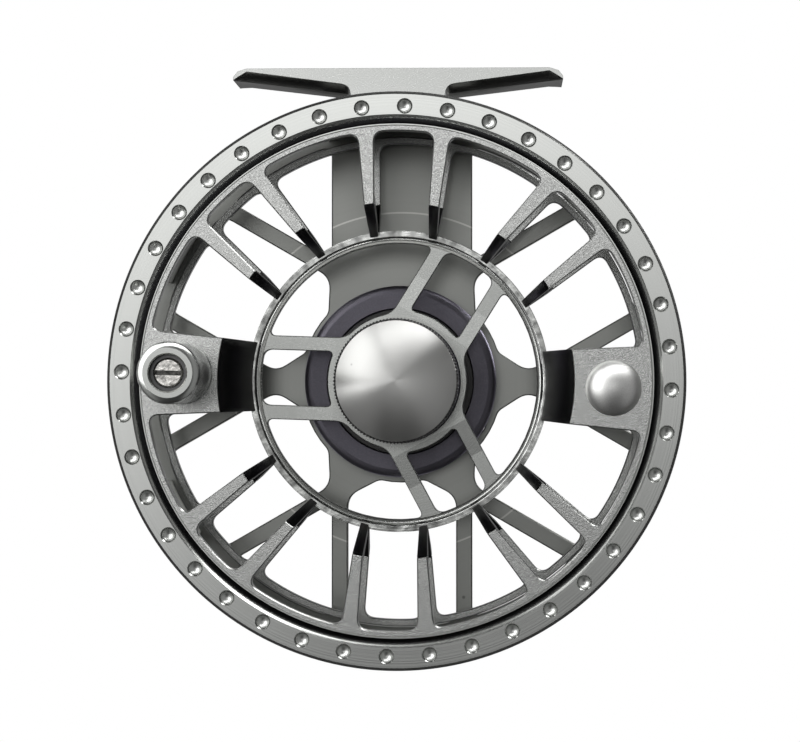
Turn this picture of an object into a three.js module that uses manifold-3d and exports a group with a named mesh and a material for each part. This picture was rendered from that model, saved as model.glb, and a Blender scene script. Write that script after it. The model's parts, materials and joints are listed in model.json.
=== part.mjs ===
// A large-arbor fly reel: a ported spool with a palming rim, a cage frame with
// a reel foot, a disc drag behind the hub, and a screwed release cap.
//
// Millimetres, +Z up. The spindle lies along Y and the handle side faces -Y.
// Inside the reel every depth is measured along +Y from the spool's front face,
// and radii from the spindle. The outer group puts the origin at the middle of
// the flat top of the reel foot.

import * as THREE from 'three';
import { mergeVertices } from 'three/addons/utils/BufferGeometryUtils.js';
import Module from 'manifold-3d';

const wasm = await Module();
wasm.setup();

// ---------------------------------------------------------------- dimensions

const SPOOL_RADIUS = 50;            // outside of the palming rim
const SPOOL_WIDTH = 27.4;           // front face to the back of the rear flange
const SPOOL_REST_TURN = 1.9;        // degrees, clockwise from the front
const FOOT_HEIGHT = 55.2;           // spindle to the top of the foot
const FOOT_DEPTH = 17;              // spool front face to the middle of the foot

const WEB = 2.2;                    // thickness of the flanges
const RIM_INNER = 45.6;             // palming rim, inner edge of its face
const RIM_CHAMFER = 0.4;
const SKIRT = { inner: 48.2, back: 5.5 };
const GROOVE = { inner: 44.3, floor: 1.3 };
const DIMPLE = { count: 40, pitchRadius: 47.42, radius: 1.15, depth: 0.45 };

const WINDOW = { outer: 43.15, fillet: 1.7 };
const SPOKE_AXES = 8;               // spokes leave in pairs about these axes
const SPOKE_OUTER_EDGE = { at: 2.79, slope: 0.123 };
const SPOKE_INNER_EDGE = { at: 3.41, slope: 0.042 };
const WIDE_ARM_EDGE = { at: 4.29, slope: 0.0725 };

const CONE_TOP = 30.7;              // where the flange face folds into the cone
const ARBOR = { inner: 25.6, outer: 27.2, waist: 26.8, foot: 27.8, front: 14.6, back: 18 };
const REAR_FLANGE = { inner: 32.2, outer: 44.4, front: 25.4, fold: 30.8 };

const HUB = { ring: 25.5, ringInner: 24.5, face: 14.8, back: 17.2, collar: 12, collarInner: 10.9 };
const HUB_ARM = { outer: 7.46, inner: 4.92, count: 3, flatTo: 19, rise: 1.6 };
const BARREL = { outer: 10.8, bore: 5.65, front: 13.2, back: 21.6, pinDepth: 18.4 };

const CAP = { radius: 10.6, knurl: 11, base: 1.7, apex: -1.8, crown: 4.6, back: 12.9, wall: 1.4 };
const HANDLE = { pitchRadius: 36.9, radius: 5.22, waist: 4.87, length: 21.3, post: 2.3, collar: 1.2 };
const COUNTERWEIGHT = { pitchRadius: 37.5, radius: 4.8, height: 3.1 };
const TAIL = 1.5;                   // radius of the tails riveted through the flange

const PLATE = { front: 30.5, back: 33.5 };
const CAGE = { inner: 45, outer: 49.6, flush: 50 };
const FRONT_RING = { front: 3, step: 5.9, back: 8.5, nested: 47.8 };
const FRAME_BAR = { outer: 12.9, inner: 9.93, disc: 18.5 };
const CHANNEL_ANGLES = [30, 150, 210, 270, 330];
const PILLAR = { inner: 46, halfAngle: 7 };
const BRIDGE = { halfAngle: 17, seat: 49.2 };

const FOOT = { halfLength: 29.1, flat: 26.7, halfWidth: 6.6, tip: 2.2, root: 4.3, fillet: 1.1, stem: 8.25 };
const FOOT_SCREWS = { spacing: 9, head: 2.6, shank: 1.4, seat: 47.6, tip: 52.6 };

const DRAG = { outer: 17.3, lip: 13.07, cavity: 14.3, front: 22.1, lipBack: 23.1 };
const PUSH_PINS = { count: 3, pitchRadius: 10, radius: 1 };
const HOUSING_SCREWS = { count: 3, pitchRadius: 15.6, shank: 0.75, head: 1.7, seat: 32.2 };
const DRIVE_PINS = { count: 3, pitchRadius: 8.2, radius: 1.2 };
const KNOB = { radius: 13, front: 34, back: 42, scallops: 12 };
const SPINDLE = { radius: 3, thread: 2.5, tip: 5.2 };
const BEARING = { outer: 5.55, inner: 3.06, width: 3, fronts: [13.5, 18.4] };

const RUNNING_GAP = 0.3;            // between pieces that turn past each other
const FINE = 60;                    // sides of the large turned pieces
const MEDIUM = 28;
const SMALL = 14;

// ----------------------------------------------------------------- materials

const metal = (color, roughness) => ({ color, roughness, metalness: 1 });
const FINISH = {
  spool: metal(0x6f716e, 0.38),
  arbor: metal(0x9a9c98, 0.42),
  frame: metal(0x6b7069, 0.42),
  cap: metal(0x8f908c, 0.3),
  steel: metal(0xb9bbbd, 0.25),
  brass: metal(0xb08d4a, 0.35),
  drag: metal(0x3f3e45, 0.5),
  carbon: { color: 0x1b1b1d, roughness: 0.6, metalness: 0 },
  rubber: { color: 0x141414, roughness: 0.8, metalness: 0 },
};

// -------------------------------------------------------------- solid helpers

const radians = THREE.MathUtils.degToRad;
const evenly = (count) => Array.from({ length: count }, (_, i) => (360 / count) * i);
const polar = (radius, degrees) => new THREE.Vector2(
  radius * Math.cos(radians(degrees)), radius * Math.sin(radians(degrees)));

// A closed geometry as a solid with its faces pointing out.
function solidOf(geometry) {
  const bare = geometry.clone();
  bare.deleteAttribute('normal');
  bare.deleteAttribute('uv');
  const merged = mergeVertices(bare, 1e-4);
  const points = merged.attributes.position.array;
  const corners = merged.index.array;
  const at = (i) => new THREE.Vector3().fromArray(points, 3 * i);
  const triangles = [];
  let volume = 0;
  for (let i = 0; i < corners.length; i += 3) {
    const [a, b, c] = corners.slice(i, i + 3);
    if (a === b || b === c || c === a) continue;
    triangles.push([a, b, c]);
    volume += at(a).dot(at(b).cross(at(c)));
  }
  if (volume < 0) triangles.forEach((triangle) => triangle.reverse());
  return new wasm.Manifold(new wasm.Mesh({
    numProp: 3,
    vertProperties: Float32Array.from(points),
    triVerts: Uint32Array.from(triangles.flat()),
  }));
}

function geometryOf(solid) {
  const { vertProperties, triVerts } = solid.getMesh();
  const geometry = new THREE.BufferGeometry();
  geometry.setAttribute('position', new THREE.BufferAttribute(vertProperties, 3));
  geometry.setIndex(new THREE.BufferAttribute(triVerts, 1));
  const flat = geometry.toNonIndexed();
  flat.computeVertexNormals();
  return flat;
}

// A turned piece: its outline in [radius, depth] runs once round, or from the
// axis back to the axis.
function turned(outline, sides = MEDIUM) {
  const points = outline.map(([radius, depth]) => new THREE.Vector2(radius, depth));
  if (outline[0][0] > 0) points.push(points[0].clone());
  return solidOf(new THREE.LatheGeometry(points, sides));
}

const washer = (inner, outer, front, back, sides = MEDIUM) => turned(
  [[inner, front], [outer, front], [outer, back], [inner, back]], sides);

const rod = (radius, front, back, sides = SMALL) => turned(
  [[0, front], [radius, front], [radius, back], [0, back]], sides);

// A flat piece: an outline in X and Z, given its thickness along the spindle.
function plate(shape, front, back, curveSegments = 6) {
  const geometry = new THREE.ExtrudeGeometry(
    shape, { depth: back - front, bevelEnabled: false, curveSegments });
  geometry.rotateX(Math.PI / 2).translate(0, back, 0);
  return solidOf(geometry);
}

// A solid moved across the spindle, to a pitch radius and an angle from +X.
function placed(solid, radius, degrees) {
  const { x, y } = polar(radius, degrees);
  return solid.translate([x, 0, y]);
}

const cutAll = (solid, cutters) => cutters.reduce((body, cutter) => body.subtract(cutter), solid);

// ------------------------------------------------------------ window outlines

// A straight edge beside an axis: its distance from the axis is at + slope * s,
// s being the way along the axis. This is where it meets a circle.
function edgeMeets(edge, side, axisAngle, radius) {
  const a = 1 + edge.slope ** 2;
  const b = edge.at * edge.slope;
  const s = (-b + Math.sqrt(b * b - a * (edge.at ** 2 - radius ** 2))) / a;
  const lateral = side * (edge.at + edge.slope * s);
  return new THREE.Vector2(s, lateral).rotateAround(new THREE.Vector2(), radians(axisAngle));
}

// A window between two edges and two circles about the spindle, its corners
// rounded.
function sectorWindow(low, high, inner, outer, fillet) {
  const lowIn = edgeMeets(low.edge, low.side, low.axis, inner);
  const lowOut = edgeMeets(low.edge, low.side, low.axis, outer);
  const highOut = edgeMeets(high.edge, high.side, high.axis, outer);
  const highIn = edgeMeets(high.edge, high.side, high.axis, inner);
  const along = (from, to, distance) => from.clone().lerp(to, distance / from.distanceTo(to));
  const turn = (point, radius, distance) => point.clone().rotateAround(
    new THREE.Vector2(), distance / radius);
  const innerFillet = fillet / 2;
  const shape = new THREE.Shape();
  const start = along(lowIn, lowOut, innerFillet);
  shape.moveTo(start.x, start.y);
  const beforeOut = along(lowOut, lowIn, fillet);
  shape.lineTo(beforeOut.x, beforeOut.y);
  const arcStart = turn(lowOut, outer, fillet);
  shape.quadraticCurveTo(lowOut.x, lowOut.y, arcStart.x, arcStart.y);
  const arcEnd = turn(highOut, outer, -fillet);
  shape.absarc(0, 0, outer, arcStart.angle(), arcEnd.angle(), false);
  const afterOut = along(highOut, highIn, fillet);
  shape.quadraticCurveTo(highOut.x, highOut.y, afterOut.x, afterOut.y);
  const beforeIn = along(highIn, highOut, innerFillet);
  shape.lineTo(beforeIn.x, beforeIn.y);
  const innerStart = turn(highIn, inner, -innerFillet);
  shape.quadraticCurveTo(highIn.x, highIn.y, innerStart.x, innerStart.y);
  const innerEnd = turn(lowIn, inner, innerFillet);
  shape.absarc(0, 0, inner, innerStart.angle(), innerEnd.angle(), true);
  shape.quadraticCurveTo(lowIn.x, lowIn.y, start.x, start.y);
  return shape;
}

// The windows of both flanges: one between each pair of axes, and one inside
// each pair of spokes except the two that are filled to carry the handle and
// the counterweight.
function flangeWindows() {
  const { outer, fillet } = WINDOW;
  const inner = ARBOR.outer;
  const step = 360 / SPOKE_AXES;
  const windows = [];
  for (const axis of evenly(SPOKE_AXES)) {
    const wideHere = axis % 180 === 0;
    const wideNext = (axis + step) % 180 === 0;
    const low = { edge: wideHere ? WIDE_ARM_EDGE : SPOKE_OUTER_EDGE, side: 1, axis };
    const high = { edge: wideNext ? WIDE_ARM_EDGE : SPOKE_OUTER_EDGE, side: -1, axis: axis + step };
    windows.push(sectorWindow(low, high, inner, outer, fillet));
    if (wideHere) continue;
    windows.push(sectorWindow(
      { edge: SPOKE_INNER_EDGE, side: -1, axis },
      { edge: SPOKE_INNER_EDGE, side: 1, axis }, inner, outer, fillet));
  }
  return windows;
}

// ---------------------------------------------------------------------- spool

const windowCutters = flangeWindows().map((shape) => plate(shape, -1, SPOOL_WIDTH + 1, 3));

// Palming rim with its skirt and groove, the flange face, and the cone that
// drops from the face to the arbor, turned in one and then pierced.
function frontFlange() {
  const blank = turned([
    [SPOOL_RADIUS, RIM_CHAMFER], [SPOOL_RADIUS, SKIRT.back], [SKIRT.inner, SKIRT.back],
    [SKIRT.inner, WEB], [CONE_TOP + WEB, WEB], [ARBOR.foot, ARBOR.front],
    [ARBOR.inner + 1, ARBOR.front], [CONE_TOP, 0], [GROOVE.inner, 0],
    [GROOVE.inner, GROOVE.floor], [RIM_INNER, GROOVE.floor], [RIM_INNER, 0],
    [SPOOL_RADIUS - RIM_CHAMFER, 0],
  ], FINE);
  const dimple = turned([[0, -0.1], [DIMPLE.radius, -0.1], [0, DIMPLE.depth]], 5);
  const dimples = evenly(DIMPLE.count).map((angle) => placed(dimple, DIMPLE.pitchRadius, angle));
  const tailHole = rod(TAIL + 0.1, -1, WEB + 1);
  return cutAll(blank, [...windowCutters, ...dimples,
    placed(tailHole, HANDLE.pitchRadius, 180), placed(tailHole, COUNTERWEIGHT.pitchRadius, 0)]);
}

// Rear flange with the rear half of the arbor, pierced like the front.
function rearFlange() {
  const blank = turned([
    [REAR_FLANGE.outer, REAR_FLANGE.front], [REAR_FLANGE.outer, SPOOL_WIDTH],
    [REAR_FLANGE.fold, SPOOL_WIDTH], [ARBOR.inner + 1, ARBOR.back],
    [ARBOR.foot, ARBOR.back], [REAR_FLANGE.inner, REAR_FLANGE.front],
  ], FINE);
  return cutAll(blank, windowCutters);
}

// The ring that the cones stand on, slightly waisted.
const arborRing = () => turned([
  [ARBOR.inner, ARBOR.front], [ARBOR.outer, ARBOR.front],
  [ARBOR.waist, (ARBOR.front + ARBOR.back) / 2],
  [ARBOR.outer, ARBOR.back], [ARBOR.inner, ARBOR.back]], FINE);

// Hub ring, collar and three pairs of parallel arms that rise to the collar.
function hubSpider() {
  const blank = turned([
    [HUB.ring, HUB.face], [HUB.ring, HUB.back], [HUB.collarInner, HUB.back],
    [HUB.collarInner, HUB.face - HUB_ARM.rise], [HUB.collar, HUB.face - HUB_ARM.rise],
    [HUB_ARM.flatTo, HUB.face]], FINE);
  const through = (shape) => plate(shape, 0, SPOOL_WIDTH, 3);
  const level = (at) => ({ at, slope: 0 });
  const step = 360 / HUB_ARM.count;
  const windows = evenly(HUB_ARM.count).flatMap((turn) => {
    const axis = turn + step / 2;
    return [
      sectorWindow({ edge: level(HUB_ARM.inner), side: -1, axis },
        { edge: level(HUB_ARM.inner), side: 1, axis }, HUB.collar, HUB.ringInner, 1.8),
      sectorWindow({ edge: level(HUB_ARM.outer), side: 1, axis },
        { edge: level(HUB_ARM.outer), side: -1, axis: axis + step }, HUB.collar, HUB.ringInner, 1.6),
    ];
  });
  return cutAll(blank, windows.map(through));
}

// Hub barrel, bored for two bearings and, from behind, for the drive pins.
function hubBarrel() {
  const pinHole = rod(DRIVE_PINS.radius + RUNNING_GAP, BARREL.pinDepth, BARREL.back + 1);
  return cutAll(
    washer(BARREL.bore, BARREL.outer, BARREL.front, BARREL.back),
    evenly(DRIVE_PINS.count).map((angle) => placed(pinHole, DRIVE_PINS.pitchRadius, angle)));
}

// --------------------------------------------------------- handle and balance

const BUSH = { outer: 3.4, length: 5 };
const HANDLE_BACK = -HANDLE.collar - RUNNING_GAP;
const SCREW_SEAT = -19.2;           // shoulder under the handle screw's head
const SCREW_DEPTH = 8;              // tapped hole in the end of the post
const COUNTERBORE = 3.1;            // recess around the screw's head
const SLIP = 0.1;                   // between a shaft and the hole it sits in

const handlePost = () => turned([
  [0, SCREW_SEAT + SCREW_DEPTH], [1.3, SCREW_SEAT + SCREW_DEPTH], [1.3, SCREW_SEAT],
  [HANDLE.post, SCREW_SEAT], [HANDLE.post, 0], [TAIL, 0], [TAIL, WEB], [0, WEB]], SMALL);

const handleCollar = () => washer(HANDLE.post + SLIP, HANDLE.radius + 0.05, -HANDLE.collar, 0, 18);

const handleKnob = () => turned([
  [BUSH.outer + 0.05, HANDLE_BACK], [HANDLE.radius - 0.3, HANDLE_BACK],
  [HANDLE.radius, HANDLE_BACK - 0.4], [HANDLE.radius, -5], [HANDLE.waist, -11],
  [HANDLE.radius, -17], [HANDLE.radius, 1 - HANDLE.length], [HANDLE.radius - 0.9, -HANDLE.length],
  [COUNTERBORE, -HANDLE.length], [COUNTERBORE, SCREW_SEAT - 0.2],
  [HANDLE.post + SLIP, SCREW_SEAT - 0.2], [HANDLE.post + SLIP, HANDLE_BACK - BUSH.length],
  [BUSH.outer + 0.05, HANDLE_BACK - BUSH.length]], 20);

const handleBush = () => washer(
  HANDLE.post + SLIP, BUSH.outer, HANDLE_BACK - BUSH.length, HANDLE_BACK, SMALL);

// A cheese-head screw with a straight slot; its head stands in front of seat.
function slottedScrew({ head, height, shank, seat, tip, slot }) {
  const top = seat + Math.sign(seat - tip) * height;
  const body = turned([[0, tip], [shank, tip], [shank, seat], [head, seat],
    [head, top], [0, top]], SMALL);
  const groove = new THREE.BoxGeometry(3 * head, height, slot).translate(0, top, 0);
  return body.subtract(solidOf(groove));
}

const handleScrew = () => slottedScrew({
  head: 2.75, height: 1.4, shank: 1.2, seat: SCREW_SEAT - 0.2, tip: SCREW_SEAT + SCREW_DEPTH - 0.4,
  slot: 0.6 });

const counterweight = () => turned([
  [0, -COUNTERWEIGHT.height], [1.9, -2.85], [3.5, -2.1], [4.45, -1], [COUNTERWEIGHT.radius, 0],
  [TAIL, 0], [TAIL, WEB], [0, WEB]], 20);

// ---------------------------------------------------------------- release cap

const releaseCap = () => turned([
  [0, CAP.apex], [3.4, CAP.apex + 0.25], [6.6, CAP.apex + 1.1], [9.2, CAP.apex + 2.3],
  [CAP.radius, CAP.base], [CAP.knurl, CAP.base + 0.3], [CAP.knurl, CAP.base + 1.5],
  [CAP.radius, CAP.base + 1.9], [CAP.radius, CAP.back], [CAP.radius - CAP.wall, CAP.back],
  [CAP.radius - CAP.wall, CAP.crown], [0, CAP.crown]]);

// A bronze insert that screws onto the spindle, and a rubber washer.
const capInsert = () => washer(SPINDLE.thread + 0.2, 5.1, CAP.crown, 11, 18);
const capWasher = () => washer(5.4, CAP.radius - CAP.wall - 0.3, CAP.back - 0.7, CAP.back - 0.2, 18);

// --------------------------------------------------------------------- frame

// Outline of an opening in the back plate that lies between two straight bars
// and the ring, about one of the plate's axes.
function flaredOpening(points, axis) {
  const corners = points.map(([s, lateral]) => new THREE.Vector2(s, lateral));
  const mirrored = corners.slice().reverse().map(({ x, y }) => new THREE.Vector2(x, -y));
  const outline = [...corners, ...mirrored].map(
    (point) => point.rotateAround(new THREE.Vector2(), radians(axis)));
  return new THREE.Shape(outline);
}

const onRing = (lateral) => Math.sqrt(CAGE.inner ** 2 - lateral ** 2);

// The sharp wedge between the bars of neighbouring channels.
function wedge(axis) {
  const apex = FRAME_BAR.outer / Math.sin(radians(30));
  const slope = Math.tan(radians(30));
  const corner = edgeMeets({ at: -apex * slope, slope }, 1, 0, CAGE.inner);
  const arc = corner.angle();
  return flaredOpening([
    [apex + 0.9, 0.5], [corner.x - 1.5, corner.y - 1], [CAGE.inner * Math.cos(arc * 0.82),
      CAGE.inner * Math.sin(arc * 0.82)], [CAGE.inner * Math.cos(arc / 3),
      CAGE.inner * Math.sin(arc / 3)]], axis);
}

// A channel between two parallel bars, from the centre disc to the ring.
function channel(axis) {
  const { disc, inner } = FRAME_BAR;
  return flaredOpening([
    [disc, 0.8], [Math.sqrt(disc ** 2 - 4.45 ** 2) + 0.3, 4.45], [21.2, inner - 0.8],
    [23.2, inner], [onRing(inner) - 2.2, inner], [onRing(inner - 2), inner - 2],
    [onRing(4), 4]], axis);
}

function backPlate() {
  const disc = turned([
    [3.1, PLATE.front], [CAGE.outer, PLATE.front], [CAGE.outer, PLATE.back], [3.1, PLATE.back]], FINE);
  const through = (shape) => plate(shape, PLATE.front - 1, PLATE.back + 1);
  const openings = [
    ...evenly(6).map(wedge), ...CHANNEL_ANGLES.map(channel)].map(through);
  const pinHole = rod(PUSH_PINS.radius + 0.2, PLATE.front - 1, PLATE.back + 1, 12);
  const { shank, head, seat } = HOUSING_SCREWS;
  const screwHole = turned([
    [0, PLATE.front - 1], [shank + 0.15, PLATE.front - 1], [shank + 0.15, seat],
    [head + 0.2, seat], [head + 0.2, PLATE.back + 1], [0, PLATE.back + 1]], 12);
  return cutAll(disc, [...openings,
    ...evenly(PUSH_PINS.count).map((angle) => placed(pinHole, PUSH_PINS.pitchRadius, angle)),
    ...evenly(HOUSING_SCREWS.count).map(
      (angle) => placed(screwHole, HOUSING_SCREWS.pitchRadius, angle + 90))]);
}

const frontRing = () => turned([
  [CAGE.inner, FRONT_RING.front], [FRONT_RING.nested, FRONT_RING.front],
  [FRONT_RING.nested, FRONT_RING.step], [CAGE.flush, FRONT_RING.step],
  [CAGE.flush, FRONT_RING.back], [CAGE.inner, FRONT_RING.back]], FINE);

// A piece of the cage wall between the front ring and the back plate.
function cageWall(centreAngle, halfAngle, inner, outer) {
  const shape = new THREE.Shape();
  const from = radians(centreAngle - halfAngle);
  const to = radians(centreAngle + halfAngle);
  shape.absarc(0, 0, outer, from, to, false);
  shape.absarc(0, 0, inner, to, from, true);
  return plate(shape, FRONT_RING.back, PLATE.front, 5);
}

const block = (width, depth, height, x, y, z) => solidOf(
  new THREE.BoxGeometry(width, depth, height).translate(x, y, z));

// Upright screws under the foot, one each side of the middle.
const footScrewPlaces = [-FOOT_SCREWS.spacing / 2, FOOT_SCREWS.spacing / 2];
const upright = (solid, x) => solid.rotate([90, 0, 0]).translate([x, FOOT_DEPTH, 0]);

function topBridge() {
  const wall = cageWall(90, BRIDGE.halfAngle, PILLAR.inner, CAGE.outer);
  const seat = block(2 * FOOT.stem, 2 * FOOT.halfWidth, 8,
    0, FOOT_DEPTH, BRIDGE.seat + 4);
  const { head, shank, seat: headSeat } = FOOT_SCREWS;
  const hole = upright(turned([
    [0, 44], [head + 0.2, 44], [head + 0.2, headSeat], [shank + 0.2, headSeat],
    [shank + 0.2, 52], [0, 52]], 14), 0);
  return cutAll(wall, [seat, ...footScrewPlaces.map((x) => hole.translate([x, 0, 0]))]);
}

// The foot: a long saddle with thin tips, on a short stem that sits in the
// frame's flat.
function reelFoot() {
  const { halfLength, flat, halfWidth, tip, root, fillet, stem } = FOOT;
  const top = FOOT_HEIGHT;
  const half = [
    [flat, top], [halfLength, top - tip + 0.4], [halfLength - 0.5, top - tip],
    [stem + fillet, top - root], [stem, top - root - fillet], [stem, BRIDGE.seat]];
  const left = half.slice().reverse().map(([x, z]) => [-x, z]);
  const shape = new THREE.Shape([...half, ...left].map(([x, z]) => new THREE.Vector2(x, z)));
  const body = plate(shape, FOOT_DEPTH - halfWidth, FOOT_DEPTH + halfWidth);
  const hole = upright(rod(FOOT_SCREWS.shank + 0.2, BRIDGE.seat - 1, FOOT_SCREWS.tip + 0.4, 14), 0);
  return cutAll(body, footScrewPlaces.map((x) => hole.translate([x, 0, 0])));
}

function footScrew() {
  const { head, shank, seat, tip } = FOOT_SCREWS;
  return turned([[0, seat - 1.4], [head, seat - 1.4], [head, seat], [shank, seat],
    [shank, tip], [0, tip]], 14);
}

// ----------------------------------------------------------- spindle and drag

const spindle = () => turned([
  [0, SPINDLE.tip], [SPINDLE.thread, SPINDLE.tip], [SPINDLE.thread, 12.6],
  [SPINDLE.radius, 12.9], [SPINDLE.radius, 28.4], [5, 28.4], [5, PLATE.front],
  [SPINDLE.radius, PLATE.front], [SPINDLE.radius, 36.2], [2.2, 36.2], [2.2, 39.2],
  [0.9, 39.2], [0.9, 36], [0, 36]], 18);

const spindleNut = () => rod(5.4, PLATE.back, 35.9, 6).subtract(
  rod(SPINDLE.radius + 0.15, PLATE.back - 1, 37, 18));

function dragHousing() {
  const cup = turned([
    [DRAG.lip, DRAG.front], [DRAG.outer - 0.3, DRAG.front], [DRAG.outer, DRAG.front + 0.3],
    [DRAG.outer, PLATE.front], [DRAG.cavity, PLATE.front], [DRAG.cavity, DRAG.lipBack],
    [DRAG.lip, DRAG.lipBack]]);
  const hole = rod(HOUSING_SCREWS.shank + 0.15, 26, PLATE.front + 1, 12);
  return cutAll(cup, evenly(HOUSING_SCREWS.count).map(
    (angle) => placed(hole, HOUSING_SCREWS.pitchRadius, angle + 90)));
}

const housingScrew = () => slottedScrew({ ...HOUSING_SCREWS, height: 1.1, tip: 26.4, slot: 0.45 });
const sealRing = () => washer(DRAG.lip - 0.72, DRAG.lip - 0.07, DRAG.front + 0.2, DRAG.lipBack - 0.2);
const steelDisc = () => washer(8.6, DRAG.cavity - 0.2, 23.9, 24.9);

// The carrier: a flanged hub on the spindle, driven by three pins in the
// spool, with the one-way clutch and the carbon disc round it.
const CARRIER = { hub: 6, flange: 12, front: 21.9, pinEnd: 22.4, flangeBack: 23.4, back: 28 };

function driveHub() {
  const bore = SPINDLE.radius + RUNNING_GAP;
  const { hub, flange, front, pinEnd, flangeBack, back } = CARRIER;
  return turned([[bore, front], [hub, front], [hub, pinEnd], [flange, pinEnd],
    [flange, flangeBack], [hub, flangeBack], [hub, back], [bore, back]]);
}

const drivePin = () => rod(DRIVE_PINS.radius, BARREL.pinDepth + 0.6, CARRIER.pinEnd, 12);
const clutch = () => washer(CARRIER.hub + 0.1, 8, 24, 27, 18);
const carbonDisc = () => washer(8.1, DRAG.cavity - 0.5, 25.2, 26.6);

// Behind the carbon disc a spring washer and a plate, pushed by three pins
// that reach back through the frame to the knob.
const PRESSURE = { front: 28.2, back: 29.3 };
const springWasher = () => washer(8.6, 12.6, PRESSURE.front - 0.5, PRESSURE.front);
const pressurePlate = () => washer(CARRIER.hub + 0.6, 13.6, PRESSURE.front, PRESSURE.back);
const pushPin = () => rod(PUSH_PINS.radius, PRESSURE.back, PLATE.back + 0.1, 12);

// Drag knob: a hollow cup with a scalloped grip, held by the screw behind it.
function dragKnob() {
  const cup = turned([
    [6.4, KNOB.front], [KNOB.radius - 0.4, KNOB.front], [KNOB.radius, KNOB.front + 0.4],
    [KNOB.radius, KNOB.back - 1.2], [KNOB.radius - 1.2, KNOB.back], [5.4, KNOB.back],
    [4.4, 39.5], [2.5, 39.5], [2.5, 37.2], [6.4, 37.2]]);
  const scallop = rod(2.4, KNOB.front + 2, KNOB.back + 1, 12);
  return cutAll(cup, evenly(KNOB.scallops).map(
    (angle) => placed(scallop, KNOB.radius + 1.3, angle)));
}

const knobScrew = () => slottedScrew({
  head: 3.9, height: 1.3, shank: 0.75, seat: 39.8, tip: 36.3, slot: 0.7 });

// ------------------------------------------------------------------- assembly

function piece(name, solid, finish, position = [0, 0, 0]) {
  const material = new THREE.MeshStandardMaterial({ ...FINISH[finish], name: finish });
  const mesh = new THREE.Mesh(geometryOf(solid), material);
  mesh.name = name;
  mesh.position.set(...position);
  return mesh;
}

// The place of a piece that stands at a pitch radius and angle about the
// spindle.
function pitch(radius, degrees) {
  const { x, y } = polar(radius, degrees);
  return [x, 0, y];
}

const spool = new THREE.Group();
spool.rotation.y = radians(SPOOL_REST_TURN);
spool.add(
  piece('spool_front_flange', frontFlange(), 'spool'),
  piece('spool_rear_flange', rearFlange(), 'spool'),
  piece('spool_arbor_ring', arborRing(), 'arbor'),
  piece('spool_hub_spider', hubSpider(), 'spool'),
  piece('spool_hub_barrel', hubBarrel(), 'spool'),
  piece('counterweight', counterweight(), 'steel', pitch(COUNTERWEIGHT.pitchRadius, 0)),
  piece('release_cap', releaseCap(), 'cap'),
  piece('cap_insert', capInsert(), 'brass'),
  piece('cap_washer', capWasher(), 'rubber'));
BEARING.fronts.forEach((front, i) => {
  const back = front + BEARING.width;
  const middle = (BEARING.inner + BEARING.outer) / 2;
  spool.add(
    piece(`bearing_${i + 1}_outer`, washer(middle + 0.7, BEARING.outer, front, back, 18), 'steel'),
    piece(`bearing_${i + 1}_shield`, washer(middle - 0.6, middle + 0.6, front + 0.3, back - 0.3, 18), 'drag'),
    piece(`bearing_${i + 1}_inner`, washer(BEARING.inner, middle - 0.7, front, back, 18), 'steel'));
});
evenly(DRIVE_PINS.count).forEach((angle, i) => spool.add(
  piece(`drive_pin_${i + 1}`, drivePin(), 'steel', pitch(DRIVE_PINS.pitchRadius, angle))));

const handlePlace = pitch(HANDLE.pitchRadius, 180);
spool.add(
  piece('handle_post', handlePost(), 'steel', handlePlace),
  piece('handle_collar', handleCollar(), 'spool', handlePlace),
  piece('handle_knob', handleKnob(), 'spool', handlePlace),
  piece('handle_bush', handleBush(), 'brass', handlePlace),
  piece('handle_screw', handleScrew(), 'steel', handlePlace));

const frame = new THREE.Group();
frame.add(
  piece('frame_back_plate', backPlate(), 'frame'),
  piece('frame_front_ring', frontRing(), 'frame'),
  piece('frame_top_bridge', topBridge(), 'frame'),
  piece('reel_foot', reelFoot(), 'frame'));
CHANNEL_ANGLES.forEach((angle, i) => frame.add(
  piece(`frame_pillar_${i + 1}`,
    cageWall(angle, PILLAR.halfAngle, PILLAR.inner, CAGE.outer), 'frame')));
footScrewPlaces.forEach((x, i) => frame.add(
  piece(`foot_screw_${i + 1}`, upright(footScrew(), x), 'steel')));

frame.add(
  piece('spindle', spindle(), 'steel'),
  piece('spindle_nut', spindleNut(), 'steel'),
  piece('drag_housing', dragHousing(), 'drag'),
  piece('drag_seal_ring', sealRing(), 'rubber'),
  piece('drag_steel_disc', steelDisc(), 'steel'),
  piece('drive_hub', driveHub(), 'drag'),
  piece('one_way_clutch', clutch(), 'steel'),
  piece('drag_carbon_disc', carbonDisc(), 'carbon'),
  piece('spring_washer', springWasher(), 'steel'),
  piece('pressure_plate', pressurePlate(), 'steel'),
  piece('drag_knob', dragKnob(), 'drag'),
  piece('drag_knob_screw', knobScrew(), 'steel'));
evenly(PUSH_PINS.count).forEach((angle, i) => frame.add(
  piece(`push_pin_${i + 1}`, pushPin(), 'steel', pitch(PUSH_PINS.pitchRadius, angle))));
evenly(HOUSING_SCREWS.count).forEach((angle, i) => frame.add(
  piece(`housing_screw_${i + 1}`, housingScrew(), 'steel',
    pitch(HOUSING_SCREWS.pitchRadius, angle + 90))));

const reel = new THREE.Group();
reel.position.set(0, -FOOT_DEPTH, -FOOT_HEIGHT);
reel.add(frame, spool);

const flyReel = new THREE.Group();
flyReel.add(reel);

export default flyReel;
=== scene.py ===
"""A large-arbor fly reel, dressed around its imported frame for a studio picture."""
import json
import math

import bmesh
import bpy
from mathutils import Matrix, Vector


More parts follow.
